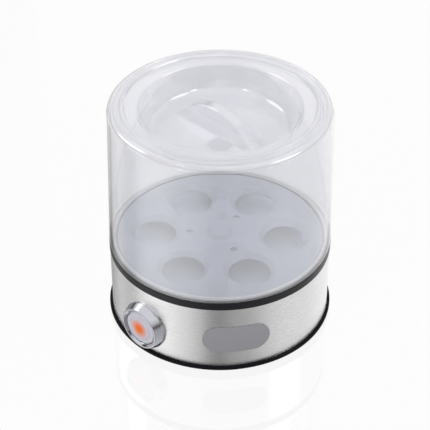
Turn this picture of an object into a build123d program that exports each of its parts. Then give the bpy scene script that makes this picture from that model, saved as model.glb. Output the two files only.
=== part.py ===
from build123d import *
from math import cos, radians, sin, sqrt
import os

# Electric egg cooker: a round heated base, an egg rack, a clear steam cover and a dished lid.
# Millimetres. The origin is the centre of the underside at table level, +Z is up.
# Angles run round the vertical axis from the front, -Y, towards +X.

# Clearances
slip_gap = 0.3
drop_gap = 0.5
rest_gap = 0.1
thread_gap = 0.05

# Feet
foot_height = 2.5
foot_radius = 6.0
foot_inset = 15.0
foot_angles = (45, 135, 225, 315)
foot_stem_radius = 2.3
foot_barb_radius = 3.1
foot_barb_height = 1.8

# Base pan
pan_reach = 2.1
pan_floor = 2.2
pan_flange = 3.0
pan_wall = 2.0
pan_collar_height = 1.9
pan_lower_round = 1.5
pan_upper_round = 0.7
vent_slot_count = 12
vent_slot_circle = 29.0
vent_slot_length = 12.0
vent_slot_width = 2.6

# Steel band
band_radius = 74.9
band_sheet = 0.8
band_height = 47.8

# Top ring
ring_overhang = 0.3
ring_height = 5.7
ring_skirt_depth = 6.0
ring_wall = 2.0
ring_lip_height = 2.2
ring_lip_wall = 2.1
rack_ledge_drop = 1.6
rack_ledge_sheet = 2.9
plate_ledge_drop = 6.4
plate_ledge_sheet = 3.0
plate_ledge_width = 5.3
rack_ledge_width = 4.8

# Screws that draw the pan and the ring together
screw_count = 3
screw_inset = 9.6
screw_radius = 1.7
screw_head_radius = 3.4
screw_head_height = 2.6
screw_length = 17.0
pillar_radius = 4.6
pillar_top = 21.0
pillar_shelf = 5.0

# Heating plate
plate_sheet = 1.2
plate_depth = 8.6
plate_mouth_gap = 3.4
plate_side_draft = 2.7
seal_height = 0.8
stud_radius = 1.5
stud_length = 6.0
stud_shoulder_radius = 3.0
nut_across = 5.5
nut_height = 2.4

# Hold-down clips under the plate ledge
clip_sheet = 1.0
clip_width = 10.0
clip_stud_inset = 5.5
clip_angles = (60, 180, 300)
clip_shoulder = 0.8

# Heating element
element_radius = 3.25
element_flat = 0.45
element_fuse_gap = 9.0
element_gap_angle = 56
element_bend = 7.0
element_tail = 5.0
pin_radius = 1.1
pin_length = 3.0
tab_width = 6.3
tab_sheet = 0.8
tab_length = 7.0

# Thermostat
thermostat_radius = 7.8
thermostat_cap_radius = 9.2
thermostat_cap_height = 1.8
thermostat_body_height = 9.0
bracket_sheet = 0.8
bracket_stud_reach = 13.0
bracket_ear_radius = 3.6

# Thermal fuse
fuse_radius = 2.6
fuse_length = 22.0
fuse_lead_radius = 0.5
fuse_lead_length = 5.0
fuse_stud_gap = 7.3
fuse_stud_spread = 7.5
fuse_clip_sheet = 0.8
fuse_clip_width = 7.0

# Terminal block
block_width = 26.0
block_depth = 14.0
block_height = 11.0
block_inset = 27.8
block_post_height = 3.0
block_post_radius = 2.6
block_post_spread = 9.0
block_poles = 3
block_bore_radius = 1.8

# Cord gland
gland_height = 17.0
gland_radius = 7.5
gland_neck_radius = 5.6
gland_bore_radius = 3.3
gland_outside = 2.0
gland_inside = 3.0

# Push button and its switch
switch_angle = -50
switch_height = 24.7
bezel_base_radius = 17.1
bezel_land_radius = 14.9
bezel_bore_radius = 12.5
bezel_reach = 5.8
barrel_wall = 1.4
barrel_depth = 9.0
switch_nut_radius = 17.0
switch_nut_height = 4.0
button_stroke = 3.0
button_wall = 1.4
button_reach = 4.6
button_crown = 0.9
button_skirt = 5.0
notch_angles = (145, -85)
leg_inset = 1.1
leg_width = 3.2
leg_sheet = 2.0
leg_length = 7.0
leg_slack = 0.2
switch_plate = 3.0
switch_box_width = 19.0
switch_box_depth = 12.0
spring_radius = 5.2
spring_wire = 0.6
spring_turns = 5
lamp_radius = 2.6
lamp_length = 8.0

# Egg rack
rack_gap = 0.7
rack_sheet = 1.0
rack_rim_depth = 1.6
cup_count = 6
cup_inset = 26.0
cup_first_angle = -42
cup_land = 4.5
cup_flare = 3.5
cup_depth = 3.2
hub_radius = 8.0
hub_rise = 2.6
steam_hole_count = 3
steam_hole_inset = 23.5
steam_hole_radius = 2.4

# Steam cover
cover_inset = 0.1
cover_taper = 2.7
cover_height = 102.2
cover_wall = 2.0
cover_round = 3.2
cover_rim_width = 3.5
cover_seat_drop = 2.4
cover_seat_width = 2.6
cover_seat_sheet = 2.3

# Lid
lid_sheet = 2.0
lid_edge_sheet = 2.0
lid_crown_rise = 1.2
lid_skirt_depth = 3.0
lid_bead_inset = 5.4
lid_bead_width = 1.7
lid_floor_depth = 18.0
lid_floor_inset = 6.9
lid_mouth_inset = 16.2
lid_floor_round = 5.0
lug_angle = 85
lug_arc = 16
lug_rise = 0.7
fin_angle = 36.7
fin_end_gap = 10.5
fin_rise = 16.0
fin_foot_half_width = 7.4
fin_top_half_width = 4.4
fin_round = 2.4
vent_angle = -8.3
vent_circle = 17.0
vent_radius = 8.4

# Levels worked out from the sizes above
pan_floor_top = foot_height + pan_floor
flange_top = foot_height + pan_flange
band_top = flange_top + band_height
cover_seat = band_top + ring_height
rack_ledge = cover_seat - rack_ledge_drop
plate_ledge = cover_seat - plate_ledge_drop
ledge_underside = plate_ledge - plate_ledge_sheet
plate_flange = plate_ledge + seal_height
plate_underside = plate_flange - plate_depth
cover_top = cover_seat + cover_height
lid_seat = cover_top - cover_seat_drop
lid_rest = lid_seat + rest_gap
lid_top = lid_rest + lid_edge_sheet
lid_floor = cover_top - lid_floor_depth

# Radii worked out from the sizes above
pan_radius = band_radius + pan_reach
foot_circle = pan_radius - foot_inset
band_bore = band_radius - band_sheet
collar_radius = band_bore - slip_gap
screw_circle = collar_radius - screw_inset
block_reach = collar_radius - block_inset
ring_radius = band_radius + ring_overhang
cover_foot_radius = ring_radius - cover_inset
cover_shoulder_radius = cover_foot_radius - cover_taper
cover_bore = cover_foot_radius - cover_wall
lip_radius = cover_bore - slip_gap
lip_bore = lip_radius - ring_lip_wall
plate_pocket_radius = lip_bore - rack_ledge_width
plate_ledge_bore = plate_pocket_radius - plate_ledge_width
plate_radius = plate_pocket_radius - drop_gap
plate_mouth_radius = plate_ledge_bore - plate_mouth_gap
plate_floor_radius = plate_mouth_radius - plate_side_draft
clip_stud_circle = plate_floor_radius - clip_stud_inset
fuse_stud_reach = thermostat_cap_radius + fuse_stud_gap
fuse_reach = fuse_stud_reach + fuse_stud_spread
element_circle = fuse_reach + element_fuse_gap
rack_radius = lip_bore - rack_gap
cup_circle = rack_radius - cup_inset
cup_mouth_radius = cup_circle / 2 - cup_land
cup_hole_radius = cup_mouth_radius - cup_flare
steam_hole_circle = cup_circle - steam_hole_inset
lid_socket_radius = cover_shoulder_radius - cover_rim_width
lid_radius = lid_socket_radius - slip_gap
seat_bore = lid_socket_radius - cover_seat_width
skirt_radius = seat_bore - slip_gap
lid_bead_radius = lid_radius - lid_bead_inset
lid_mouth_radius = lid_radius - lid_mouth_inset
lid_floor_radius = lid_mouth_radius - lid_floor_inset
fin_half_length = lid_floor_radius - fin_end_gap
button_radius = bezel_bore_radius - slip_gap
leg_spread = switch_box_width / 2 - leg_inset


# A solid of revolution from (radius, height, rounding) corners
def turned(*corners, arc=360):
    points = [(corner[0], 0, corner[1]) for corner in corners]
    rounds = [corner[2] if len(corner) > 2 else 0 for corner in corners]
    outline = FilletPolyline(*points, radius=rounds, close=True)
    return revolve(Face(Wire(outline.edges())), Axis.Z, arc)


# A place on a circle round the vertical axis, turned so that local -Y points outwards
def on_circle(angle, radius, height=0.0):
    return Rot(0, 0, angle) * Pos(0, -radius, height)


# A place on the band where local Z points outwards and local Y up
def facing_out(angle, height):
    outward = Vector(sin(radians(angle)), -cos(radians(angle)), 0)
    origin = outward * band_radius + Vector(0, 0, height)
    across = Vector(cos(radians(angle)), sin(radians(angle)), 0)
    return Location(Plane(origin=origin, x_dir=across, z_dir=outward))


# An upright round bar from its lower to its upper height
def bar(radius, bottom, top):
    return Pos(0, 0, bottom) * extrude(Circle(radius), top - bottom)


# An upright tube from its lower to its upper height
def tube(radius, bore, bottom, top):
    return Pos(0, 0, bottom) * extrude(Circle(radius) - Circle(bore), top - bottom)


def screw_angles():
    return [360 * i / screw_count for i in range(screw_count)]


def make_feet():
    hole_top = pan_floor_top
    barb_top = hole_top + foot_barb_height
    foot = turned(
        (0, 0), (foot_radius, 0, 0.8), (foot_radius, foot_height),
        (foot_stem_radius, foot_height), (foot_stem_radius, hole_top),
        (foot_barb_radius, hole_top), (foot_stem_radius - 0.4, barb_top), (0, barb_top),
    )
    return Compound([on_circle(angle, foot_circle) * foot for angle in foot_angles])


def make_base_pan():
    collar_top = flange_top + pan_collar_height
    pan = turned(
        (0, foot_height),
        (pan_radius, foot_height, pan_lower_round),
        (pan_radius, flange_top, pan_upper_round),
        (collar_radius, flange_top),
        (collar_radius, collar_top),
        (collar_radius - pan_wall, collar_top),
        (collar_radius - pan_wall, pan_floor_top, 0.8),
        (0, pan_floor_top),
    )
    rib_length = collar_radius - pan_wall / 2 - screw_circle
    rib_rise = collar_top - pan_floor_top
    rib = Pos(0, -rib_length / 2, pan_floor_top + rib_rise / 2) * Box(pan_wall, rib_length, rib_rise)
    for angle in screw_angles():
        spot = on_circle(angle, screw_circle)
        pan += spot * bar(pillar_radius, foot_height + 0.5, pillar_top)
        pan += spot * rib
    for side in (-1, 1):
        post = bar(block_post_radius, foot_height + 0.5, pan_floor_top + block_post_height)
        pan += Pos(side * block_post_spread, block_reach, 0) * post
    for angle in screw_angles():
        spot = on_circle(angle, screw_circle)
        pan -= spot * bar(screw_head_radius + slip_gap, foot_height - 1, pillar_top - pillar_shelf)
        pan -= spot * bar(screw_radius + slip_gap, foot_height, pillar_top + 1)
    for angle in foot_angles:
        pan -= on_circle(angle, foot_circle) * bar(foot_stem_radius + 0.1, 0, pan_floor_top + 1)
    slot = extrude(SlotOverall(vent_slot_length, vent_slot_width, rotation=90), pan_floor + 2)
    for i in range(vent_slot_count):
        pan -= on_circle(360 * (i + 0.5) / vent_slot_count, vent_slot_circle, foot_height - 1) * slot
    return pan


def make_base_screws():
    seat = pillar_top - pillar_shelf
    screw = bar(screw_radius, seat, seat + screw_length)
    screw += turned(
        (0, seat - screw_head_height), (screw_head_radius, seat - screw_head_height, 1.2),
        (screw_head_radius, seat), (0, seat),
    )
    drive = Pos(0, 0, seat - screw_head_height) * Box(screw_head_radius, 0.8, 2.4)
    drive += Rot(0, 0, 90) * drive
    screw -= drive
    return Compound([on_circle(angle, screw_circle) * screw for angle in screw_angles()])


def make_steel_band():
    band = tube(band_radius, band_bore, flange_top, band_top)
    barrel_hole = extrude(Circle(bezel_bore_radius + barrel_wall + slip_gap), 12, both=True)
    band -= facing_out(switch_angle, switch_height) * barrel_hole
    gland_hole = extrude(Circle(gland_neck_radius + 0.2), 12, both=True)
    band -= facing_out(180, gland_height) * gland_hole
    return band


def make_top_ring():
    ledge_under = rack_ledge - rack_ledge_sheet
    ring = turned(
        (plate_ledge_bore, ledge_underside, 0.5),
        (plate_ledge_bore, plate_ledge),
        (plate_pocket_radius, plate_ledge),
        (plate_pocket_radius, rack_ledge, 0.4),
        (lip_bore, rack_ledge),
        (lip_bore, cover_seat + ring_lip_height, 0.8),
        (lip_radius, cover_seat + ring_lip_height, 0.8),
        (lip_radius, cover_seat),
        (ring_radius, cover_seat, 0.4),
        (ring_radius, band_top, 0.3),
        (collar_radius, band_top),
        (collar_radius, band_top - ring_skirt_depth),
        (collar_radius - ring_wall, band_top - ring_skirt_depth),
        (collar_radius - ring_wall, ledge_under),
        (plate_pocket_radius + ring_wall, ledge_under, 1.0),
        (plate_pocket_radius + ring_wall, ledge_underside),
    )
    for angle in screw_angles():
        tower = bar(pillar_radius, pillar_top, ledge_underside + plate_ledge_sheet / 2)
        ring += on_circle(angle, screw_circle) * tower
    hole_top = pillar_top - pillar_shelf + screw_length + 1
    for angle in screw_angles():
        ring -= on_circle(angle, screw_circle) * bar(screw_radius + thread_gap, pillar_top - 1, hole_top)
    return ring


def make_plate_seal():
    return tube(plate_radius, plate_ledge_bore + slip_gap, plate_ledge, plate_flange)


def make_heating_plate():
    lean = (plate_mouth_radius - plate_floor_radius) / plate_depth
    side = plate_sheet * sqrt(1 + lean * lean)
    inner_floor = plate_floor_radius + lean * plate_sheet - side
    inner_mouth = plate_mouth_radius + lean * plate_sheet - side
    flange_upper = plate_flange + plate_sheet
    plate = turned(
        (0, plate_underside),
        (plate_floor_radius, plate_underside, 3.0),
        (plate_mouth_radius, plate_flange, 1.4),
        (plate_radius, plate_flange),
        (plate_radius, flange_upper, 0.4),
        (inner_mouth, flange_upper, 2.4),
        (inner_floor, plate_underside + plate_sheet, 2.0),
        (0, plate_underside + plate_sheet),
    )
    for angle in clip_angles:
        plate += on_circle(angle, clip_stud_circle) * weld_stud(clip_shoulder)
    for side in (-1, 1):
        plate += Pos(side * bracket_stud_reach, 0, 0) * weld_stud(thermostat_cap_height)
    plate += Pos(0, -fuse_stud_reach, 0) * weld_stud(clip_shoulder)
    return plate


# A threaded stud welded under the plate, with a shoulder that spaces what it carries
def weld_stud(shoulder):
    root = plate_underside + plate_sheet / 2
    stud = bar(stud_radius, plate_underside - shoulder - stud_length, root)
    return stud + bar(stud_shoulder_radius, plate_underside - shoulder, root)


def make_plate_nuts():
    across_corners = nut_across / sqrt(3)
    nut = extrude(RegularPolygon(across_corners, 6) - Circle(stud_radius + thread_gap), -nut_height)
    clip_level = plate_underside - clip_shoulder - clip_sheet
    nuts = [on_circle(angle, clip_stud_circle, clip_level) * nut for angle in clip_angles]
    bracket_level = plate_underside - thermostat_cap_height - bracket_sheet
    nuts += [Pos(side * bracket_stud_reach, 0, bracket_level) * nut for side in (-1, 1)]
    nuts.append(Pos(0, -fuse_stud_reach, plate_underside - clip_shoulder - fuse_clip_sheet) * nut)
    return Compound(nuts)


def make_plate_clips():
    foot = plate_underside - clip_shoulder
    riser = plate_ledge_bore - 1.0
    tip = riser + plate_ledge_width
    heel = clip_stud_circle - 4.0
    outline = FilletPolyline(
        (0, -heel, foot), (0, -(riser - clip_sheet), foot), (0, -(riser - clip_sheet), ledge_underside),
        (0, -tip, ledge_underside), (0, -tip, ledge_underside - clip_sheet),
        (0, -riser, ledge_underside - clip_sheet), (0, -riser, foot - clip_sheet), (0, -heel, foot - clip_sheet),
        radius=[0, 0.4, 1.4, 0, 0, 0.4, 1.4, 0], close=True,
    )
    clip = extrude(Face(Wire(outline.edges())), clip_width / 2, dir=(1, 0, 0), both=True)
    clip -= Pos(0, -clip_stud_circle, 0) * bar(stud_radius + 0.1, foot - 3, foot + 1)
    return Compound([Rot(0, 0, angle) * clip for angle in clip_angles])


def make_heating_element():
    centre = plate_underside - element_radius + element_flat
    half_gap = element_gap_angle / 2
    ends = {side: radians(180 + side * half_gap) for side in (-1, 1)}
    tip = {}
    knee = {}
    foot = {}
    bend_mid = {}
    for side, angle in ends.items():
        along = Vector(cos(angle), sin(angle), 0) * -side
        tip[side] = Vector(sin(angle), -cos(angle), 0) * element_circle + Vector(0, 0, centre)
        knee[side] = tip[side] + along * element_bend - Vector(0, 0, element_bend)
        share = element_bend * (1 - sqrt(0.5))
        bend_mid[side] = tip[side] + along * (element_bend * sqrt(0.5)) - Vector(0, 0, share)
        foot[side] = knee[side] - Vector(0, 0, element_tail)
    front = Vector(0, -element_circle, centre)
    path = Wire([
        Edge.make_line(foot[-1], knee[-1]),
        Edge.make_three_point_arc(knee[-1], bend_mid[-1], tip[-1]),
        Edge.make_three_point_arc(tip[-1], front, tip[1]),
        Edge.make_three_point_arc(tip[1], bend_mid[1], knee[1]),
        Edge.make_line(knee[1], foot[1]),
    ])
    element = sweep(Plane(origin=foot[-1], z_dir=(0, 0, 1)) * Circle(element_radius), path=path)
    element -= bar(band_radius, plate_underside, plate_underside + 2 * element_radius)
    for side in (-1, 1):
        pin_end = foot[side].Z - pin_length
        pin = bar(pin_radius, pin_end, foot[side].Z + 2)
        pin += Pos(0, 0, pin_end + 0.5 - tab_length / 2) * Box(tab_sheet, tab_width, tab_length)
        element += Pos(foot[side].X, foot[side].Y, 0) * pin
    return element


def make_thermostat():
    cap_bottom = plate_underside - thermostat_cap_height
    body_bottom = cap_bottom - thermostat_body_height
    thermostat = turned(
        (0, body_bottom), (thermostat_radius - 0.8, body_bottom, 0.6), (thermostat_radius, cap_bottom - 2.0),
        (thermostat_radius, cap_bottom), (thermostat_cap_radius, cap_bottom),
        (thermostat_cap_radius, plate_underside, 0.5), (0, plate_underside),
    )
    tab = Pos(0, 0, body_bottom + 0.5 - tab_length / 2) * Box(tab_sheet, tab_width, tab_length)
    for side in (-1, 1):
        thermostat += Pos(side * thermostat_radius / 2, 0, 0) * tab
    return thermostat


def make_thermostat_bracket():
    upper = plate_underside - thermostat_cap_height
    ears = SlotCenterToCenter(2 * bracket_stud_reach, 2 * bracket_ear_radius)
    outline = ears + Circle(thermostat_cap_radius + 1.0) - Circle(thermostat_radius + 0.2)
    for side in (-1, 1):
        outline -= Pos(side * bracket_stud_reach, 0) * Circle(stud_radius + 0.1)
    return Pos(0, 0, upper) * extrude(outline, -bracket_sheet)


def make_thermal_fuse():
    axis_height = plate_underside - fuse_radius
    sleeve = Pos(0, -fuse_reach, axis_height) * Rot(0, 90, 0) * Cylinder(fuse_radius, fuse_length)
    lead = Cylinder(fuse_lead_radius, fuse_length + 2 * fuse_lead_length)
    lead = Pos(0, -fuse_reach, axis_height) * Rot(0, 90, 0) * lead
    return sleeve + lead


def make_fuse_clip():
    axis_height = plate_underside - fuse_radius
    upper = plate_underside - clip_shoulder
    bore = fuse_radius + 0.1
    saddle = Circle(bore + fuse_clip_sheet) - Circle(bore)
    saddle -= Pos(0, bore) * Rectangle(4 * bore, 2 * bore)
    side_view = Plane(origin=(0, -fuse_reach, axis_height), x_dir=(0, 1, 0), z_dir=(1, 0, 0))
    wrap = extrude(side_view * saddle, fuse_clip_width / 2, both=True)
    near_wall = -fuse_reach + bore
    heel = -fuse_stud_reach + stud_shoulder_radius + 0.6
    riser_height = upper - axis_height
    riser = Pos(0, near_wall + fuse_clip_sheet / 2, axis_height + riser_height / 2) * Box(
        fuse_clip_width, fuse_clip_sheet, riser_height
    )
    strip_length = heel - near_wall
    strip = Pos(0, near_wall + strip_length / 2, upper - fuse_clip_sheet / 2) * Box(
        fuse_clip_width, strip_length, fuse_clip_sheet
    )
    clip = wrap + riser + strip
    return clip - Pos(0, -fuse_stud_reach, 0) * bar(stud_radius + 0.1, upper - 3, upper + 1)


def make_terminal_block():
    bottom = pan_floor_top + block_post_height
    block = Pos(0, 0, bottom + block_height / 2) * Box(block_width, block_depth, block_height)
    block = fillet(block.edges().filter_by(Axis.Z), 1.2)
    pitch = block_width / (block_poles + 1)
    for pole in range(block_poles):
        place = Pos((pole - (block_poles - 1) / 2) * pitch, 0, bottom + block_height / 2)
        block -= place * Rot(90, 0, 0) * Cylinder(block_bore_radius, block_depth + 2)
        block -= place * Pos(0, 0, block_height / 4) * Cylinder(block_bore_radius, block_height / 2 + 1)
    return Pos(0, block_reach, 0) * block


def make_cord_gland():
    gland = turned(
        (gland_bore_radius, -gland_inside), (gland_radius, -gland_inside, 0.8),
        (gland_radius, gland_outside, 1.0), (gland_bore_radius, gland_outside),
    )
    place = facing_out(180, gland_height)
    gland = place * gland
    sleeve = tube(band_radius + 0.05, band_bore - 0.05, flange_top, band_top)
    sleeve -= place * extrude(Circle(gland_neck_radius), 12, both=True)
    return gland - sleeve


def make_switch_bezel():
    barrel_radius = bezel_bore_radius + barrel_wall
    place = facing_out(switch_angle, switch_height)
    flange = turned(
        (bezel_bore_radius, -4.0), (bezel_base_radius, -4.0), (bezel_base_radius, 0.7, 0.5),
        (bezel_land_radius, bezel_reach, 0.7), (bezel_land_radius - 0.9, bezel_reach, 0.4),
        (bezel_bore_radius, bezel_reach - 1.3, 0.4),
    )
    flange = place * flange - bar(band_radius + 0.03, flange_top, band_top)
    barrel = tube(barrel_radius, bezel_bore_radius, -barrel_depth, 1.0)
    return flange + place * barrel


def make_switch_nut():
    corner_depth = band_radius - sqrt(band_bore ** 2 - switch_nut_radius ** 2)
    front = -corner_depth - 0.1
    barrel_radius = bezel_bore_radius + barrel_wall
    nut = tube(switch_nut_radius, barrel_radius + thread_gap, front - switch_nut_height, front)
    notch = Pos(switch_nut_radius, 0, front - switch_nut_height) * Box(2.4, 3.2, 2 * switch_nut_height / 3)
    for i in range(6):
        nut -= Rot(0, 0, 60 * i) * notch
    return facing_out(switch_angle, switch_height) * nut


def make_switch_body():
    front = -barrel_depth
    box_front = front - switch_plate
    body = bar(bezel_bore_radius + barrel_wall, box_front, front)
    box = Pos(0, 0, box_front - switch_box_depth / 2) * Box(
        switch_box_width, switch_box_width, switch_box_depth
    )
    body += fillet(box.edges().filter_by(Axis.Z), 1.5)
    slot_depth = leg_length - (barrel_depth - button_skirt) + button_stroke + 1
    slot = Pos(0, 0, front - slot_depth / 2) * Box(
        leg_width + 2 * leg_slack, leg_sheet + 2 * leg_slack, slot_depth
    )
    for side in (-1, 1):
        body -= Pos(0, side * leg_spread, 0) * slot
    box_back = box_front - switch_box_depth
    tab = Pos(0, 0, box_back + 0.5 - tab_length / 2) * Box(tab_sheet, tab_width, tab_length)
    for side in (-1, 0, 1):
        body += Pos(side * switch_box_width / 3, 0, 0) * tab
    return facing_out(switch_angle, switch_height) * body


def make_lamp():
    lamp = turned(
        (0, -barrel_depth), (lamp_radius, -barrel_depth), (lamp_radius, lamp_length - barrel_depth, lamp_radius - 0.4),
        (0, lamp_length - barrel_depth),
    )
    return facing_out(switch_angle, switch_height) * lamp


def make_button_spring():
    span = barrel_depth + button_reach - button_wall
    rise = span - spring_wire
    coil = Helix(pitch=rise / spring_turns, height=rise, radius=spring_radius).edge()
    section = Plane(origin=coil @ 0, z_dir=coil % 0) * Circle(spring_wire / 2)
    spring = sweep(section, path=coil, is_frenet=True)
    seat = spring_wire / 2 - barrel_depth
    return facing_out(switch_angle, switch_height) * Pos(0, 0, seat) * spring


def make_button():
    inner = button_radius - button_wall
    cap = turned(
        (inner, -button_skirt), (button_radius, -button_skirt), (button_radius, button_reach, 0.9),
        (bezel_bore_radius * 0.72, button_reach), (bezel_bore_radius * 0.62, button_reach + button_crown, 0.8),
        (0, button_reach + button_crown), (0, button_reach - button_wall),
        (inner, button_reach - button_wall, 0.8),
    )
    leg = Pos(0, 0, -button_skirt - leg_length / 2 + 1.0) * Box(leg_width, leg_sheet, leg_length + 2.0)
    for side in (-1, 1):
        cap += Pos(0, side * leg_spread, 0) * leg
        web = (side * (leg_spread + inner) / 2, -button_skirt + 1.0)
        cap += Pos(0, web[0], web[1]) * Box(leg_width, inner - leg_spread + 1.6, 2.0)
    notch = Pos(button_radius, 0, button_reach) * Box(2.4, 2.6, 2.4)
    for angle in notch_angles:
        cap -= Rot(0, 0, angle) * notch
    return facing_out(switch_angle, switch_height) * cap


def make_egg_rack():
    top = rack_ledge + rack_rim_depth
    under = top - rack_sheet
    rack = turned(
        (0, under + hub_rise), (hub_radius - 2.0, under + hub_rise, 1.2), (hub_radius, under, 0.8),
        (rack_radius - rack_sheet, under), (rack_radius - rack_sheet, rack_ledge), (rack_radius, rack_ledge),
        (rack_radius, top, 0.9), (hub_radius + 0.7, top, 0.8), (hub_radius - 1.3, top + hub_rise, 1.2),
        (0, top + hub_rise),
    )
    lap = 0.9
    cup = turned(
        (cup_mouth_radius + lap, under), (cup_mouth_radius + lap, top), (cup_mouth_radius, top, 0.8),
        (cup_hole_radius, top - cup_depth), (cup_hole_radius + rack_sheet, top - cup_depth),
        (cup_mouth_radius + 0.3, under, 0.3),
    )
    for i in range(cup_count):
        place = on_circle(cup_first_angle + 360 * i / cup_count, cup_circle)
        rack -= place * bar(cup_mouth_radius + lap / 2, under - 1, top + 1)
        rack += place * cup
    for i in range(steam_hole_count):
        place = on_circle(cup_first_angle + 360 * (i + 0.5) / steam_hole_count, steam_hole_circle)
        rack -= place * bar(steam_hole_radius, under - 1, top + 1)
    return rack


def make_steam_cover():
    seat_under = lid_seat - cover_seat_sheet
    lean = (cover_foot_radius - cover_shoulder_radius) / cover_height
    bore_at_seat = cover_bore - lean * (seat_under - cover_seat)
    return turned(
        (cover_bore, cover_seat),
        (cover_foot_radius, cover_seat, 0.6),
        (cover_shoulder_radius, cover_top, cover_round),
        (lid_socket_radius, cover_top, 0.4),
        (lid_socket_radius, lid_seat),
        (seat_bore, lid_seat),
        (seat_bore, seat_under, 0.6),
        (bore_at_seat, seat_under, 1.0),
    )


# The handle across the lid: an arch with drafted sides, from below the floor up to its crown
def fin(shrink, bottom):
    arch_radius = (fin_half_length ** 2 + fin_rise ** 2) / (2 * fin_rise)
    arch = Rot(90, 0, 0) * extrude(Circle(arch_radius - shrink), 20, both=True)
    arch = Pos(0, 0, lid_floor + fin_rise - arch_radius) * arch
    draft = (fin_foot_half_width - fin_top_half_width) / fin_rise
    low = fin_foot_half_width - shrink + draft * (lid_floor - bottom)
    high = fin_top_half_width - shrink
    crown = lid_floor + fin_rise
    side_view = Face(Wire.make_polygon([(0, -low, bottom), (0, low, bottom), (0, high, crown), (0, -high, crown)]))
    wedge = extrude(side_view, 60, dir=(1, 0, 0), both=True)
    return arch & wedge


def make_lid():
    lean = (lid_mouth_radius - lid_floor_radius) / (lid_top - lid_floor)
    side = lid_sheet * sqrt(1 + lean * lean)
    inner_floor = lid_floor_radius - lean * lid_sheet + side
    inner_mouth = lid_mouth_radius - lean * lid_sheet + side
    bead_top = cover_top + lid_crown_rise
    bead_inner = lid_bead_radius - lid_bead_width / 2
    bead_outer = lid_bead_radius + lid_bead_width / 2
    lid = turned(
        (0, lid_floor),
        (lid_floor_radius, lid_floor, lid_floor_round),
        (lid_mouth_radius, lid_top, 1.6),
        (bead_inner - 1.2, lid_top, 0.6),
        (bead_inner, bead_top, 0.5),
        (bead_outer, bead_top, 0.5),
        (bead_outer + 0.6, lid_top, 0.4),
        (lid_radius, lid_top, 0.6),
        (lid_radius, lid_rest),
        (skirt_radius, lid_rest),
        (skirt_radius, lid_seat - lid_skirt_depth, 0.5),
        (skirt_radius - lid_sheet, lid_seat - lid_skirt_depth, 0.5),
        (skirt_radius - lid_sheet, lid_top - lid_sheet, 0.6),
        (inner_mouth, lid_top - lid_sheet, 0.8),
        (inner_floor, lid_floor - lid_sheet, lid_floor_round + lid_sheet / 2),
        (0, lid_floor - lid_sheet),
    )
    outer_fin = fin(0, lid_floor - lid_sheet / 2)
    crest = outer_fin.edges().filter_by(GeomType.CIRCLE, reverse=True)
    crest = [edge for edge in crest if edge.center().Z > lid_floor + fin_rise / 2]
    if crest:
        outer_fin = fillet(crest, fin_round)
    turn = Rot(0, 0, fin_angle - 90)
    lid += turn * outer_fin
    lid -= turn * fin(lid_sheet, lid_floor - 2 * lid_sheet)
    lid -= on_circle(vent_angle, vent_circle) * bar(vent_radius, lid_floor - 2 * lid_sheet, lid_floor)
    lug = turned(
        (bead_outer, lid_top - 0.5), (lid_radius - 0.6, lid_top - 0.5), (lid_radius - 0.6, lid_top + lug_rise, 0.3),
        (bead_outer, lid_top + lug_rise), arc=lug_arc,
    )
    return lid + Rot(0, 0, lug_angle - 90 - lug_arc / 2) * lug


makers = {
    "feet": make_feet,
    "base_pan": make_base_pan,
    "base_screws": make_base_screws,
    "steel_band": make_steel_band,
    "top_ring": make_top_ring,
    "plate_seal": make_plate_seal,
    "heating_plate": make_heating_plate,
    "plate_clips": make_plate_clips,
    "plate_nuts": make_plate_nuts,
    "heating_element": make_heating_element,
    "thermostat": make_thermostat,
    "thermostat_bracket": make_thermostat_bracket,
    "thermal_fuse": make_thermal_fuse,
    "fuse_clip": make_fuse_clip,
    "terminal_block": make_terminal_block,
    "cord_gland": make_cord_gland,
    "switch_bezel": make_switch_bezel,
    "switch_nut": make_switch_nut,
    "switch_body": make_switch_body,
    "lamp": make_lamp,
    "button_spring": make_button_spring,
    "button": make_button,
    "egg_rack": make_egg_rack,
    "steam_cover": make_steam_cover,
    "lid": make_lid,
}

os.makedirs("parts", exist_ok=True)
for name, maker in makers.items():
    export_step(maker(), f"parts/{name}.step")
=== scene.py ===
import math
import bpy
from mathutils import Matrix, Vector


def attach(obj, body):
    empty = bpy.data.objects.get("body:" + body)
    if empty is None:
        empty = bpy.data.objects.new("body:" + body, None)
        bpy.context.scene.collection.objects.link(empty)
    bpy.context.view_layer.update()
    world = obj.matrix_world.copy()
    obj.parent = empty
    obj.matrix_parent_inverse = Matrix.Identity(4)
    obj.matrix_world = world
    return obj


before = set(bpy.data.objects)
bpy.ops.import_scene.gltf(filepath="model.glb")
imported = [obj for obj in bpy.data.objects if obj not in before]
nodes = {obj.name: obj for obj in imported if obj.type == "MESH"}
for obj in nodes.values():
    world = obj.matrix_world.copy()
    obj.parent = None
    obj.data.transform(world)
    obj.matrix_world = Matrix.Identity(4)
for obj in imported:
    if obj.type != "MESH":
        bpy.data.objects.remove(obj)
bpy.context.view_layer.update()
bpy.ops.object.select_all(action="DESELECT")
print("frame loaded:", len(nodes), "nodes")


# camera, fitted to the outlines of the rim, the ring, the band and the foot flange; turn in degrees
camera = {"turn": -8.3, "shift": -0.00337, "reach": 0.7518, "height": 0.6310,
          "aim": 0.0737, "lens": 116.27, "sensor": 36.0, "nearest": 0.05}


def turned(x, y, z, degrees):
    return Matrix.Rotation(math.radians(degrees), 3, "Z") @ Vector((x, y, z))


# a direction from the cooker, in degrees round it from the camera's side and up from level
def directionAt(turn, rise):
    flat = math.cos(math.radians(rise))
    return turned(0, -flat, math.sin(math.radians(rise)), camera["turn"] + turn)


def aimAt(piece, place, target):
    piece.rotation_euler = (target - place).to_track_quat("-Z", "Y").to_euler()


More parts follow.
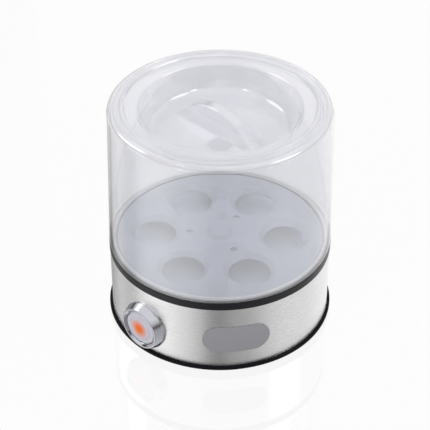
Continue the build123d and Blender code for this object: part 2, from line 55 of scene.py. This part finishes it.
def makeCamera():
    place = turned(camera["shift"], -camera["reach"], camera["height"], camera["turn"])
    bpy.ops.object.camera_add(location=place)
    cam = bpy.context.object
    cam.name = "productCamera"
    aimAt(cam, place, turned(camera["shift"], 0, camera["aim"], camera["turn"]))
    cam.data.lens = camera["lens"]
    cam.data.sensor_width = camera["sensor"]
    cam.data.clip_start = camera["nearest"]
    bpy.context.scene.camera = cam


makeCamera()
print("camera placed")


# helpers for node trees; an underscore in a name stands for the space in a socket's name
def setInputs(node, **values):
    for name, value in values.items():
        node.inputs[name.replace("_", " ")].default_value = value


def addNode(tree, kind, **settings):
    node = tree.nodes.new(kind)
    for name, value in settings.items():
        if hasattr(node, name):
            setattr(node, name, value)
        else:
            setInputs(node, **{name: value})
    return node


# a math node, with a link for each socket given and a plain number for each number
def addMath(tree, operation, *values):
    node = addNode(tree, "ShaderNodeMath", operation=operation)
    for socket, value in zip(node.inputs, values):
        if isinstance(value, bpy.types.NodeSocket):
            tree.links.new(value, socket)
        else:
            socket.default_value = value
    return node.outputs["Value"]


def addRange(tree, source, start, end, low, high, style="SMOOTHSTEP"):
    spread = addNode(tree, "ShaderNodeMapRange", interpolation_type=style,
                     From_Min=start, From_Max=end, To_Min=low, To_Max=high)
    tree.links.new(source, spread.inputs["Value"])
    return spread.outputs["Result"]


def colourInputs(mix):
    return [socket for socket in mix.inputs if socket.type == "RGBA"]


# mixes two colours, each given as a socket or as three numbers; the share is a socket or a number
def mixColours(tree, share, low, high):
    mix = addNode(tree, "ShaderNodeMix", data_type="RGBA")
    if isinstance(share, bpy.types.NodeSocket):
        tree.links.new(share, mix.inputs[0])
    else:
        mix.inputs[0].default_value = share
    for socket, colour in zip(colourInputs(mix), (low, high)):
        if isinstance(colour, bpy.types.NodeSocket):
            tree.links.new(colour, socket)
        else:
            socket.default_value = (*colour, 1)
    return [socket for socket in mix.outputs if socket.type == "RGBA"][0]


def newMaterial(name):
    material = bpy.data.materials.new(name)
    material.use_nodes = True
    return material, material.node_tree, material.node_tree.nodes["Principled BSDF"]


def newGroup(name, output, **inputs):
    group = bpy.data.node_groups.new(name, "ShaderNodeTree")
    group.interface.new_socket("Vector", in_out="INPUT", socket_type="NodeSocketVector")
    for label, value in inputs.items():
        socket = group.interface.new_socket(label, in_out="INPUT", socket_type="NodeSocketFloat")
        socket.default_value = value
    group.interface.new_socket(output, in_out="OUTPUT", socket_type="NodeSocketFloat")
    return group, group.nodes.new("NodeGroupInput"), group.nodes.new("NodeGroupOutput")


# fine grain: a value round 0.5 that moulded, woven, clear and plain metal surfaces share; inUse is the
# span of values that the roughness follows
fineGrain = {"scale": 900, "detail": 3, "roughness": 0.6, "inUse": (0.3, 0.7)}

# brushed lines that run round the vertical axis: how closely they lie, and how they change on their way
brushLines = {"lines": 2600, "along": 30, "detail": 4.0, "roughness": 0.65}


def makeGrainGroup():
    group, start, end = newGroup("fineGrain", "Grain", Scale=fineGrain["scale"], Detail=fineGrain["detail"])
    noise = addNode(group, "ShaderNodeTexNoise", Roughness=fineGrain["roughness"])
    for name in ("Vector", "Scale", "Detail"):
        group.links.new(start.outputs[name], noise.inputs[name])
    group.links.new(noise.outputs["Fac"], end.inputs["Grain"])
    return group


def makeBrushGroup():
    group, start, end = newGroup("brushLines", "Streak", Lines=brushLines["lines"], Along=brushLines["along"])
    split = group.nodes.new("ShaderNodeSeparateXYZ")
    group.links.new(start.outputs["Vector"], split.inputs["Vector"])
    join = group.nodes.new("ShaderNodeCombineXYZ")
    for axis, density in (("X", "Along"), ("Y", "Along"), ("Z", "Lines")):
        scaled = addMath(group, "MULTIPLY", split.outputs[axis], start.outputs[density])
        group.links.new(scaled, join.inputs[axis])
    noise = addNode(group, "ShaderNodeTexNoise", Scale=1.0, Detail=brushLines["detail"],
                    Roughness=brushLines["roughness"])
    group.links.new(join.outputs["Vector"], noise.inputs["Vector"])
    group.links.new(noise.outputs["Fac"], end.inputs["Streak"])
    return group


grainGroup = makeGrainGroup()
brushGroup = makeBrushGroup()

# how each kind of surface varies: what its least and most roughness add to the middle value (or multiply
# it by, where the surface is clear), and the depth of its bumps in metres
moulded = {"rough": (-0.05, 0.07), "bumpDepth": 0.0002}
metal = {"rough": (-0.04, 0.06), "bumpDepth": 0.0001}
brushed = {"rough": (-0.06, 0.08), "bumpDepth": 0.0001, "bump": 0.12, "turn": 0.25}
clear = {"rough": (0.7, 1.3), "scale": 18, "detail": 1, "coatRoughness": 0.03}


def useGroup(tree, group, output, **values):
    node = tree.nodes.new("ShaderNodeGroup")
    node.node_tree = group
    coords = tree.nodes.new("ShaderNodeTexCoord")
    tree.links.new(coords.outputs["Object"], node.inputs["Vector"])
    setInputs(node, **values)
    return node.outputs[output]


def feedColour(tree, source, shader, low, high):
    tree.links.new(mixColours(tree, source, low, high), shader.inputs["Base Color"])


def feedRoughness(tree, source, shader, low, high):
    spread = addRange(tree, source, *fineGrain["inUse"], low, high, style="LINEAR")
    tree.links.new(spread, shader.inputs["Roughness"])


def feedBump(tree, source, shader, strength, depth):
    bump = addNode(tree, "ShaderNodeBump", Strength=strength, Distance=depth)
    tree.links.new(source, bump.inputs["Height"])
    tree.links.new(bump.outputs["Normal"], shader.inputs["Normal"])


# roughness and bumps of one kind of surface
def feedSurface(tree, source, shader, kind, roughness, bump):
    least, most = kind["rough"]
    feedRoughness(tree, source, shader, roughness + least, roughness + most)
    feedBump(tree, source, shader, bump, kind["bumpDepth"])


def mouldedMaterial(name, low, high, roughness, grainScale=fineGrain["scale"], bump=0.15, specular=0.5):
    material, tree, shader = newMaterial(name)
    grain = useGroup(tree, grainGroup, "Grain", Scale=grainScale)
    feedColour(tree, grain, shader, low, high)
    feedSurface(tree, grain, shader, moulded, roughness, bump)
    setInputs(shader, Specular_IOR_Level=specular)
    return material


def metalMaterial(name, low, high, roughness, grainScale=700, bump=0.05, metallic=1.0):
    material, tree, shader = newMaterial(name)
    grain = useGroup(tree, grainGroup, "Grain", Scale=grainScale)
    feedColour(tree, grain, shader, low, high)
    feedSurface(tree, grain, shader, metal, roughness, bump)
    setInputs(shader, Metallic=metallic)
    return material


def brushedMaterial(name, low, high, roughness, anisotropy):
    material, tree, shader = newMaterial(name)
    streak = useGroup(tree, brushGroup, "Streak", Lines=brushLines["lines"], Along=brushLines["along"])
    feedColour(tree, streak, shader, low, high)
    feedSurface(tree, streak, shader, brushed, roughness, brushed["bump"])
    setInputs(shader, Metallic=1.0, Anisotropic=anisotropy, Anisotropic_Rotation=brushed["turn"])
    return material


# black below a height and pale above it, as the ring's lip shows inside the cover
def twoToneMaterial(name, low, high, height, roughness, bump=0.15, specular=0.3):
    material, tree, shader = newMaterial(name)
    grain = useGroup(tree, grainGroup, "Grain", Scale=fineGrain["scale"])
    feedSurface(tree, grain, shader, moulded, roughness, bump)
    coords = tree.nodes.new("ShaderNodeTexCoord")
    split = tree.nodes.new("ShaderNodeSeparateXYZ")
    tree.links.new(coords.outputs["Object"], split.inputs["Vector"])
    above = addMath(tree, "GREATER_THAN", split.outputs["Z"], height)
    feedColour(tree, above, shader, low, high)
    setInputs(shader, Specular_IOR_Level=specular)
    return material


# a clearness under 1 leaves the plastic milky; bend is its index of refraction, near 1 so that the walls
# hardly distort what is behind them, and shine is the index of the coat, which makes the highlights
def clearMaterial(name, low, high, clearness, roughness, bend=1.004, coat=1.0, shine=1.7):
    material, tree, shader = newMaterial(name)
    grain = useGroup(tree, grainGroup, "Grain", Scale=clear["scale"], Detail=clear["detail"])
    feedColour(tree, grain, shader, low, high)
    least, most = clear["rough"]
    feedRoughness(tree, grain, shader, roughness * least, roughness * most)
    setInputs(shader, Transmission_Weight=clearness, IOR=bend)
    setInputs(shader, Coat_Weight=coat, Coat_IOR=shine, Coat_Roughness=clear["coatRoughness"])
    return material


# name, first and second colour, and roughness; a clear one has its clearness before its roughness
panMoulded = mouldedMaterial("panMoulded", (0.004, 0.004, 0.006), (0.008, 0.008, 0.010), 0.34, specular=0.05)
darkRubber = mouldedMaterial("darkRubber", (0.012, 0.012, 0.013), (0.022, 0.022, 0.024), 0.62, 1500, 0.3)
steelBrushed = brushedMaterial("steelBrushed", (0.88, 0.88, 0.88), (0.97, 0.97, 0.965), 0.24, anisotropy=1.0)
chromed = metalMaterial("chromed", (0.62, 0.62, 0.67), (0.68, 0.68, 0.73), 0.17, 60, 0.02)
rackPlastic = clearMaterial("rackPlastic", (0.345, 0.395, 0.515), (0.390, 0.440, 0.560), 0.08, 0.3,
                            bend=1.1, coat=0.25)
# the heating plate: blue-grey like the rack's colour and a little paler, as painted light that offsets the
# shade it lies in under the rack
plateShadeOffset = metalMaterial("plateShadeOffset", (0.37, 0.43, 0.57), (0.43, 0.49, 0.63), 0.40, 400, metallic=0.0)
zincSteel = metalMaterial("zincSteel", (0.50, 0.51, 0.50), (0.58, 0.59, 0.58), 0.36)
screwSteel = metalMaterial("screwSteel", (0.45, 0.45, 0.45), (0.55, 0.55, 0.55), 0.30)
sheathSteel = metalMaterial("sheathSteel", (0.16, 0.16, 0.15), (0.25, 0.24, 0.22), 0.45, 300)
paleAbove = 0.0591  # just above the ring's seat, in metres
ringMoulded = twoToneMaterial("ringMoulded", (0.008, 0.008, 0.011), (0.68, 0.70, 0.76), paleAbove, 0.30)
softSilicone = mouldedMaterial("softSilicone", (0.40, 0.40, 0.40), (0.48, 0.48, 0.48), 0.55)
paleCeramic = mouldedMaterial("paleCeramic", (0.55, 0.49, 0.40), (0.62, 0.56, 0.47), 0.5)
wovenSleeve = mouldedMaterial("wovenSleeve", (0.55, 0.55, 0.50), (0.75, 0.75, 0.70), 0.7, 2500, 0.5)
blockPlastic = mouldedMaterial("blockPlastic", (0.66, 0.65, 0.60), (0.72, 0.71, 0.66), 0.35)
switchBlack = mouldedMaterial("switchBlack", (0.02, 0.02, 0.02), (0.03, 0.03, 0.03), 0.45)
coverPlastic = clearMaterial("coverPlastic", (0.965, 0.965, 0.99), (0.985, 0.985, 1.0), 0.87, 0.04, shine=2.4)
lidPlastic = clearMaterial("lidPlastic", (0.965, 0.965, 0.99), (0.985, 0.985, 1.0), 0.84, 0.05)
lampGlass = mouldedMaterial("lampGlass", (0.75, 0.22, 0.06), (0.85, 0.30, 0.10), 0.3)


# the button: frosted plastic, lit orange in its middle by the lamp behind it; the orange is a painted glow,
# # the amber is a painted tint of that light in the plastic, and both fade out between the radii of the core
# and the glow
button = {"angle": -50, "height": 0.0247, "face": 0.0804, "core": 0.0012, "glow": 0.0092,
          "orange": (0.46, 0.085, 0.0), "paintedGlowTint": (0.28, 0.05, 0.0),
          "low": (0.49, 0.485, 0.55), "high": (0.56, 0.555, 0.62),
          "rough": (0.28, 0.4), "scale": 500, "specular": 0.25, "bend": 1.49}


def frostedMaterial(name):
    material, tree, shader = newMaterial(name)
    grain = useGroup(tree, grainGroup, "Grain", Scale=button["scale"])
    feedRoughness(tree, grain, shader, *button["rough"])
    coords = tree.nodes.new("ShaderNodeTexCoord")
    away = addNode(tree, "ShaderNodeVectorMath", operation="DISTANCE")
    away.inputs[1].default_value = turned(0, -button["face"], button["height"], button["angle"])
    tree.links.new(coords.outputs["Object"], away.inputs[0])
    lit = addRange(tree, away.outputs["Value"], button["core"], button["glow"], 1.0, 0.0)
    plain = mixColours(tree, grain, button["low"], button["high"])
    feedColour(tree, lit, shader, plain, button["paintedGlowTint"])
    tree.links.new(mixColours(tree, lit, (0, 0, 0), button["orange"]), shader.inputs["Emission Color"])
    setInputs(shader, Emission_Strength=1.0, Specular_IOR_Level=button["specular"], IOR=button["bend"])
    return material


frostedCap = frostedMaterial("frostedCap")

# the finish of each CAD node
finishes = {
    "feet": darkRubber, "cord_gland": darkRubber, "base_pan": panMoulded, "top_ring": ringMoulded,
    "steel_band": steelBrushed, "switch_bezel": chromed, "egg_rack": rackPlastic, "heating_plate": plateShadeOffset,
    "plate_clips": zincSteel, "thermostat_bracket": zincSteel, "fuse_clip": zincSteel,
    "button_spring": zincSteel, "base_screws": screwSteel, "plate_nuts": screwSteel,
    "heating_element": sheathSteel, "plate_seal": softSilicone, "thermostat": paleCeramic,
    "thermal_fuse": wovenSleeve, "terminal_block": blockPlastic, "switch_body": switchBlack,
    "switch_nut": switchBlack, "steam_cover": coverPlastic, "lid": lidPlastic,
    "lamp": lampGlass, "button": frostedCap,
}
for nodeName, finish in finishes.items():
    for place in nodes[nodeName].material_slots:
        place.material = finish
print("materials given:", len(finishes))


# the bare plate on the front of the band: metres, with angles in degrees; its back is sunk into the band
frontPlate = {"width": 0.0452, "height": 0.0208, "thickness": 0.0007, "centre": 0.0282,
              "bandRadius": 0.0749, "sunk": 0.0001, "edge": 0.00025, "edgeSteps": 3, "edgeAngle": 60,
              "corners": 72, "strips": 16, "smoothAngle": 40, "onCentreLine": 1e-6}


def deselectAll():
    if bpy.context.object and bpy.context.object.mode == "EDIT":
        bpy.ops.object.mode_set(mode="OBJECT")
    bpy.ops.object.select_all(action="DESELECT")


def makeFrontPlate():
    deselectAll()
    half = frontPlate["height"] / 2
    bpy.ops.mesh.primitive_cylinder_add(vertices=frontPlate["corners"], radius=half,
                                        depth=frontPlate["thickness"], rotation=(math.radians(90), 0, 0))
    plate = bpy.context.object
    plate.name = "frontPlate"
    bpy.ops.object.transform_apply(location=True, rotation=True, scale=True)
    # the disc is drawn out sideways into a plate with round ends
    stretch = frontPlate["width"] / 2 - half
    for vertex in plate.data.vertices:
        if abs(vertex.co.x) > frontPlate["onCentreLine"]:
            vertex.co.x += math.copysign(stretch, vertex.co.x)
    bevel = plate.modifiers.new("edge", "BEVEL")
    bevel.width = frontPlate["edge"]
    bevel.segments = frontPlate["edgeSteps"]
    bevel.limit_method = "ANGLE"
    bevel.angle_limit = math.radians(frontPlate["edgeAngle"])
    bpy.ops.object.modifier_apply(modifier="edge")
    # cut into upright strips, and bent round the band
    bpy.ops.object.mode_set(mode="EDIT")
    for cut in range(1, frontPlate["strips"]):
        across = frontPlate["width"] * (cut / frontPlate["strips"] - 0.5)
        bpy.ops.mesh.select_all(action="SELECT")
        bpy.ops.mesh.bisect(plane_co=(across, 0, 0), plane_no=(1, 0, 0))
    bpy.ops.object.mode_set(mode="OBJECT")
    middle = frontPlate["bandRadius"] + frontPlate["thickness"] / 2 - frontPlate["sunk"]
    for vertex in plate.data.vertices:
        turn = vertex.co.x / frontPlate["bandRadius"]
        radius = middle - vertex.co.y
        vertex.co = (radius * math.sin(turn), -radius * math.cos(turn), vertex.co.z + frontPlate["centre"])
    bpy.ops.object.shade_smooth_by_angle(angle=math.radians(frontPlate["smoothAngle"]))
    material = mouldedMaterial("plateGrey", (0.222, 0.220, 0.236), (0.241, 0.239, 0.254), 0.45, 1200, 0.08)
    plate.data.materials.append(material)
    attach(plate, "base")


makeFrontPlate()
print("front plate made")


# the floor: nearly white to the camera, with a faint mirror image, and half white through the clear pieces
studioFloor = {"size": 6.0, "colour": (0.90, 0.90, 0.905), "roughness": 0.04, "bend": 1.45,
               "cameraWhite": 0.985, "throughWhite": 0.50, "mirror": 0.08, "mirrorRoughness": 0.03}

# light from all round; turns, rises and the softboxes' widths are in degrees, a turn from the camera's
# side, and heights and the dark line's widths are those on a sphere of radius 1
studioWorld = {
    "light": 0.91,  # strength
    "pale": 0.35,  # share of white in the light that falls on the cooker
    "ramp": [(-180, 1.0), (-164, 0.50), (-150, 0.20), (-136, 0.56), (-124, 0.72), (-108, 0.45),
             (-98, 0.46), (-88, 0.82), (-80, 1.0), (-58, 1.0), (-46, 0.82), (-30, 0.65),
             (-20, 0.50), (-10, 0.31), (0, 0.25), (15, 0.35), (28, 0.39), (40, 0.49),
             (50, 0.59), (62, 0.66), (80, 0.70), (110, 0.84), (130, 1.0), (180, 1.0)],  # turn and level
    "overhead": (0.92, 0.92, 0.93),
    "overheadStart": 0.25,  # height from which the overhead colour starts
    "overheadEnd": 0.75,  # height from which there is nothing else
    "darkLineHeight": 0.2,
    "darkLineCore": 0.08,  # half width at its full darkness
    "darkLineEdge": 0.16,  # half width with the fade
    "darkLineLevel": 0.15,
    "softboxes": [(74, 38, 13), (-112, 38, 13)],  # turn, rise and half width
    "softboxFade": 3,
    "softboxLight": 4.0,
}

# the lamps: turn and rise of each in degrees, with their distance and the height they aim at in metres
studioLamps = {"places": [(-40, 30), (40, 30)], "reach": 1.3, "aim": 0.08, "size": 0.2, "power": 4.3}


# where several kinds of ray are named, the mask holds for any of them
def rayMask(tree, *names):
    path = tree.nodes.new("ShaderNodeLightPath")
    mask = path.outputs[names[0]]
    for name in names[1:]:
        mask = addMath(tree, "MAXIMUM", mask, path.outputs[name])
    return mask


def blend(tree, mask, low, high):
    mix = tree.nodes.new("ShaderNodeMixShader")
    tree.links.new(mask, mix.inputs["Fac"])
    tree.links.new(low, mix.inputs[1])
    tree.links.new(high, mix.inputs[2])
    return mix.outputs["Shader"]


def makeFloor():
    deselectAll()
    bpy.ops.mesh.primitive_plane_add(size=studioFloor["size"], location=(0, 0, 0))
    floor = bpy.context.object
    floor.name = "studioFloor"
    material, tree, shader = newMaterial("paleFloor")
    setInputs(shader, Base_Color=(*studioFloor["colour"], 1))
    setInputs(shader, Roughness=studioFloor["roughness"], IOR=studioFloor["bend"])
    white = addNode(tree, "ShaderNodeEmission", Strength=1.0)
    forCamera = addMath(tree, "MULTIPLY", rayMask(tree, "Is Camera Ray"), studioFloor["cameraWhite"])
    through = addMath(tree, "MULTIPLY", rayMask(tree, "Is Transmission Ray"), studioFloor["throughWhite"])
    share = addMath(tree, "MAXIMUM", forCamera, through)
    lit = blend(tree, share, shader.outputs["BSDF"], white.outputs["Emission"])
    mirror = addNode(tree, "ShaderNodeBsdfGlossy", Roughness=studioFloor["mirrorRoughness"])
    mirrorShare = addMath(tree, "MULTIPLY", rayMask(tree, "Is Camera Ray"), studioFloor["mirror"])
    polished = blend(tree, mirrorShare, lit, mirror.outputs["BSDF"])
    tree.links.new(polished, tree.nodes["Material Output"].inputs["Surface"])
    floor.data.materials.append(material)
    floor.visible_glossy = False


# the studio's dark and pale sides by the turn, and an even paleness overhead
def makeSides(tree, split):
    back = addMath(tree, "MULTIPLY", split.outputs["Y"], -1.0)
    angle = addMath(tree, "ARCTAN2", split.outputs["X"], back)
    facing = math.radians(camera["turn"])
    around = addRange(tree, angle, facing - math.pi, facing + math.pi, 0.0, 1.0, style="LINEAR")
    ramp = tree.nodes.new("ShaderNodeValToRGB")
    stops = ramp.color_ramp.elements
    while len(stops) < len(studioWorld["ramp"]):
        stops.new(0.5)
    for stop, (degrees, level) in zip(stops, studioWorld["ramp"]):
        stop.position = (degrees + 180) / 360
        stop.color = (level, level, level, 1)
    tree.links.new(around, ramp.inputs["Fac"])
    overhead = addRange(tree, split.outputs["Z"],
                        studioWorld["overheadStart"], studioWorld["overheadEnd"], 0.0, 1.0)
    return mixColours(tree, overhead, ramp.outputs["Color"], studioWorld["overhead"])


# a dark line all round, a little above the floor's level: 1 away from it, and less on it
def makeDarkLine(tree, split):
    above = addMath(tree, "SUBTRACT", split.outputs["Z"], studioWorld["darkLineHeight"])
    apart = addMath(tree, "ABSOLUTE", above)
    return addRange(tree, apart, studioWorld["darkLineCore"], studioWorld["darkLineEdge"],
                    studioWorld["darkLineLevel"], 1.0)


# bright round patches: 1 away from them, and more on them
def makeSoftboxes(tree, direction):
    level = 1.0
    for turn, rise, width in studioWorld["softboxes"]:
        facing = addNode(tree, "ShaderNodeVectorMath", operation="DOT_PRODUCT")
        facing.inputs[1].default_value = directionAt(turn, rise)
        tree.links.new(direction, facing.inputs[0])
        outer = math.cos(math.radians(width + studioWorld["softboxFade"]))
        inner = math.cos(math.radians(width))
        patch = addRange(tree, facing.outputs["Value"], outer, inner, 1.0, studioWorld["softboxLight"])
        level = addMath(tree, "MAXIMUM", patch, level)
    return level


# the world: light falls from the ramp's sides, mixed with white; the camera and what looks through the
# clear pieces meet plain white; gloss mirrors the sides, the dark line and the softboxes
def makeWorld():
    world = bpy.data.worlds.new("studioWorld")
    bpy.context.scene.world = world
    world.use_nodes = True
    tree = world.node_tree
    coords = tree.nodes.new("ShaderNodeTexCoord")
    split = tree.nodes.new("ShaderNodeSeparateXYZ")
    tree.links.new(coords.outputs["Generated"], split.inputs["Vector"])
    sides = makeSides(tree, split)
    light = tree.nodes["Background"]
    setInputs(light, Strength=studioWorld["light"])
    tree.links.new(mixColours(tree, studioWorld["pale"], sides, (1, 1, 1)), light.inputs["Color"])
    white = addNode(tree, "ShaderNodeBackground", Strength=1.0, Color=(1, 1, 1, 1))
    mirrored = tree.nodes.new("ShaderNodeBackground")
    tree.links.new(sides, mirrored.inputs["Color"])
    level = makeSoftboxes(tree, coords.outputs["Generated"])
    tree.links.new(addMath(tree, "MULTIPLY", level, makeDarkLine(tree, split)), mirrored.inputs["Strength"])
    shown = blend(tree, rayMask(tree, "Is Camera Ray", "Is Transmission Ray"),
                  light.outputs["Background"], white.outputs["Background"])
    shown = blend(tree, rayMask(tree, "Is Glossy Ray"), shown, mirrored.outputs["Background"])
    tree.links.new(shown, tree.nodes["World Output"].inputs["Surface"])


def makeLamps():
    for number, (turn, rise) in enumerate(studioLamps["places"]):
        place = directionAt(turn, rise) * studioLamps["reach"]
        bpy.ops.object.light_add(type="AREA", location=place)
        lamp = bpy.context.object
        lamp.name = "softLamp%d" % (number + 1)
        aimAt(lamp, place, Vector((0, 0, studioLamps["aim"])))
        lamp.data.shape = "DISK"
        lamp.data.size = studioLamps["size"]
        lamp.data.energy = studioLamps["power"]
        lamp.visible_glossy = False


makeFloor()
makeWorld()
makeLamps()
bpy.context.scene.view_settings.view_transform = "Standard"
print("studio set")
